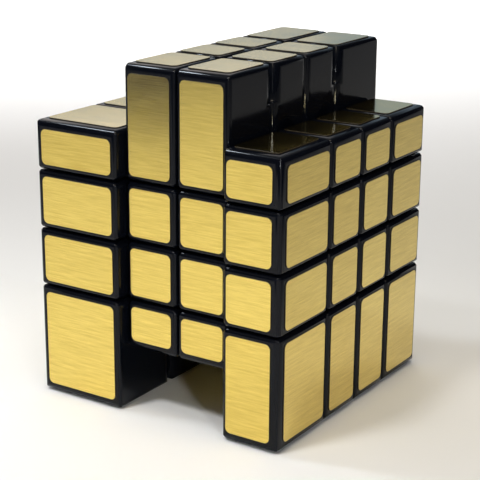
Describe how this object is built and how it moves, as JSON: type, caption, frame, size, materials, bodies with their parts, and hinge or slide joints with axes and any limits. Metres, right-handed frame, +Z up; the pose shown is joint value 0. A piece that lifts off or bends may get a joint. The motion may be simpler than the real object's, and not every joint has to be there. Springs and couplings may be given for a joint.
{
  "type": "mirror block cube",
  "caption": "Mirror block twisty cube with four turning slices of differently sized foil-faced blocks on a sprung, screwed core.",
  "frame": {"origin": "centre of the bounding box in X and Y, at the plane the cube stands on", "axes": "+X to the right along the axis the slices turn about, -Y towards the front, +Z up"},
  "size_m": [0.0624, 0.0652, 0.0762],
  "materials": {
    "black_plastic": "glossy moulded black",
    "gold_foil": "brushed gold foil, clear-coated",
    "hidden_plastic": "satin moulded dark grey",
    "spider_plastic": "natural white moulded",
    "plated_steel": "zinc plated",
    "spring_steel": "drawn wire"
  },
  "bodies": {
    "core": {"spider": "spider_plastic", "cap_screws": "plated_steel", "cap_springs": "spring_steel", "cap_washers": "plated_steel", "core_caps": "hidden_plastic", "core_hidden_edges": "hidden_plastic", "core_hidden_centers": "hidden_plastic"},
    "left_slice": {"left_top_front_corner": "black_plastic", "left_top_back_corner": "black_plastic", "left_bottom_front_corner": "black_plastic", "left_bottom_back_corner": "black_plastic", "left_top_edges": "black_plastic", "left_bottom_edges": "black_plastic", "left_front_edges": "black_plastic", "left_back_edges": "black_plastic", "left_face_centers": "black_plastic", "left_cap": "hidden_plastic", "left_hidden_edges": "hidden_plastic", "left_hidden_centers": "hidden_plastic", "left_face_stickers": "gold_foil", "left_rim_stickers": "gold_foil"},
    "mid_left_slice": {"mid_left_top_front_edge": "black_plastic", "mid_left_top_back_edge": "black_plastic", "mid_left_bottom_front_edge": "black_plastic", "mid_left_bottom_back_edge": "black_plastic", "mid_left_top_centers": "black_plastic", "mid_left_bottom_centers": "black_plastic", "mid_left_front_centers": "black_plastic", "mid_left_back_centers": "black_plastic", "mid_left_hidden_centers": "hidden_plastic", "mid_left_stickers": "gold_foil"},
    "mid_right_slice": {"mid_right_top_front_edge": "black_plastic", "mid_right_top_back_edge": "black_plastic", "mid_right_bottom_front_edge": "black_plastic", "mid_right_bottom_back_edge": "black_plastic", "mid_right_top_centers": "black_plastic", "mid_right_bottom_centers": "black_plastic", "mid_right_front_centers": "black_plastic", "mid_right_back_centers": "black_plastic", "mid_right_hidden_centers": "hidden_plastic", "mid_right_stickers": "gold_foil"},
    "right_slice": {"right_top_front_corner": "black_plastic", "right_top_back_corner": "black_plastic", "right_bottom_front_corner": "black_plastic", "right_bottom_back_corner": "black_plastic", "right_top_edges": "black_plastic", "right_bottom_edges": "black_plastic", "right_front_edges": "black_plastic", "right_back_edges": "black_plastic", "right_face_centers": "black_plastic", "right_cap": "hidden_plastic", "right_hidden_edges": "hidden_plastic", "right_hidden_centers": "hidden_plastic", "right_rim_stickers": "gold_foil", "right_face_stickers": "gold_foil"}
  },
  "joints": [
    {"name": "left_slice_turn", "type": "hinge", "parent": "core", "child": "left_slice", "pos_m": [0.004, 0, 0.0381], "axis": [1, 0, 0], "continuous": true},
    {"name": "mid_left_slice_turn", "type": "hinge", "parent": "core", "child": "mid_left_slice", "pos_m": [0.004, 0, 0.0381], "axis": [1, 0, 0], "continuous": true},
    {"name": "mid_right_slice_turn", "type": "hinge", "parent": "core", "child": "mid_right_slice", "pos_m": [0.004, 0, 0.0381], "axis": [1, 0, 0], "continuous": true},
    {"name": "right_slice_turn", "type": "hinge", "parent": "core", "child": "right_slice", "pos_m": [0.004, 0, 0.0381], "axis": [1, 0, 0], "continuous": true}
  ]
}
